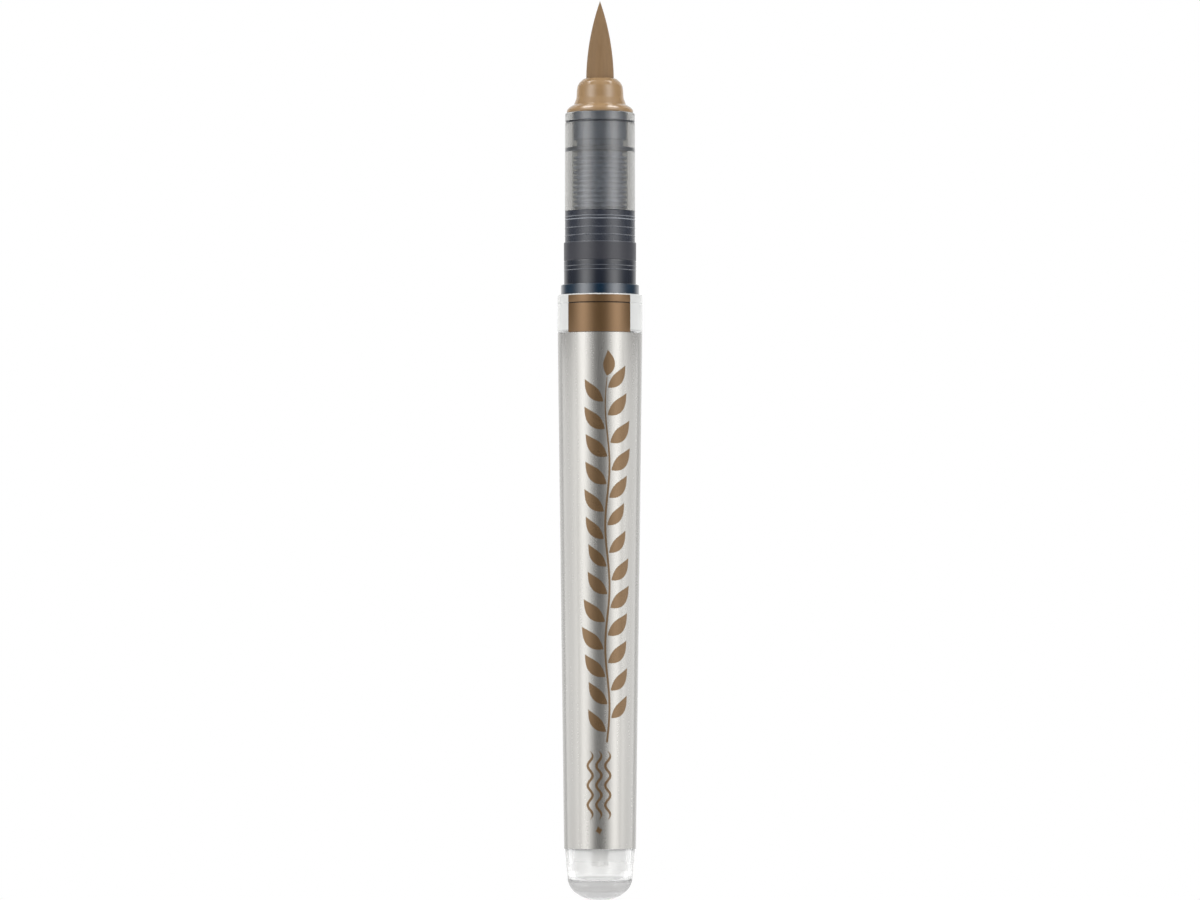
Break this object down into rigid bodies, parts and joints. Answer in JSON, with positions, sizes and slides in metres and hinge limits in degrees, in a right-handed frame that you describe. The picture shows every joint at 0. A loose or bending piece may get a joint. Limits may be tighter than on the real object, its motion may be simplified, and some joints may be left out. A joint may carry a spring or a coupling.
{
  "type": "calligraphy brush marker",
  "caption": "Slim free-ink calligraphy marker, uncapped: flexible brush nib, clear grip over a finned ink collector, ribbed collar, labelled barrel and clear domed tail.",
  "frame": {"origin": "on the pen's axis, at the lowest point of the clear tail", "axes": "+Z along the pen from the tail to the nib, -Y towards the side with the colour patch and the printed motif, +X to that side's right"},
  "size_m": [0.012, 0.012, 0.1268],
  "materials": {
    "barrel_plastic": "clear moulded plastic, slightly hazy, glossy",
    "label_film": "silver printed film, satin metallic",
    "colour_print": "brown print, semi-gloss",
    "smoky_plastic": "clear smoky plastic, glossy",
    "dark_plastic": "dark smoky plastic, glossy",
    "seal_rubber": "matt",
    "collector_plastic": "satin moulded plastic",
    "inked_fibre": "bonded fibre, wetted with ink",
    "white_plastic": "natural white plastic",
    "wick_fibre": "bonded fibre",
    "holder_plastic": "glossy moulded plastic",
    "nib_fibre": "fine nylon brush fibre, matt"
  },
  "bodies": {
    "barrel": {"barrel_tank": "barrel_plastic", "barrel_label": "label_film", "colour_patch": "colour_print"},
    "front_unit": {"section_shell": "smoky_plastic", "section_ring": "smoky_plastic", "section_collar": "dark_plastic", "barrel_seals": "seal_rubber", "collector_head": "dark_plastic", "collector_gasket": "dark_plastic", "ink_collector": "collector_plastic", "collector_base": "collector_plastic", "collector_wick": "inked_fibre", "wick_coupler": "white_plastic", "tank_wick": "wick_fibre", "nib_holder": "holder_plastic"},
    "nib": {"nib_shank": "nib_fibre", "nib_ferrule": "white_plastic"},
    "nib_point": {"brush_tip": "nib_fibre"}
  },
  "joints": [
    {"name": "front_unit_pull", "type": "slide", "parent": "barrel", "child": "front_unit", "axis": [0, 0, 1], "range_m": [0, 0.085]},
    {"name": "nib_pull", "type": "slide", "parent": "front_unit", "child": "nib", "axis": [0, 0, 1], "range_m": [0, 0.012]},
    {"name": "brush_flex", "type": "hinge", "parent": "nib", "child": "nib_point", "pos_m": [0, 0, 0.1157], "axis": [0, 1, 0], "range_deg": [-20, 20], "stiffness_Nm_per_rad": 0.004}
  ]
}
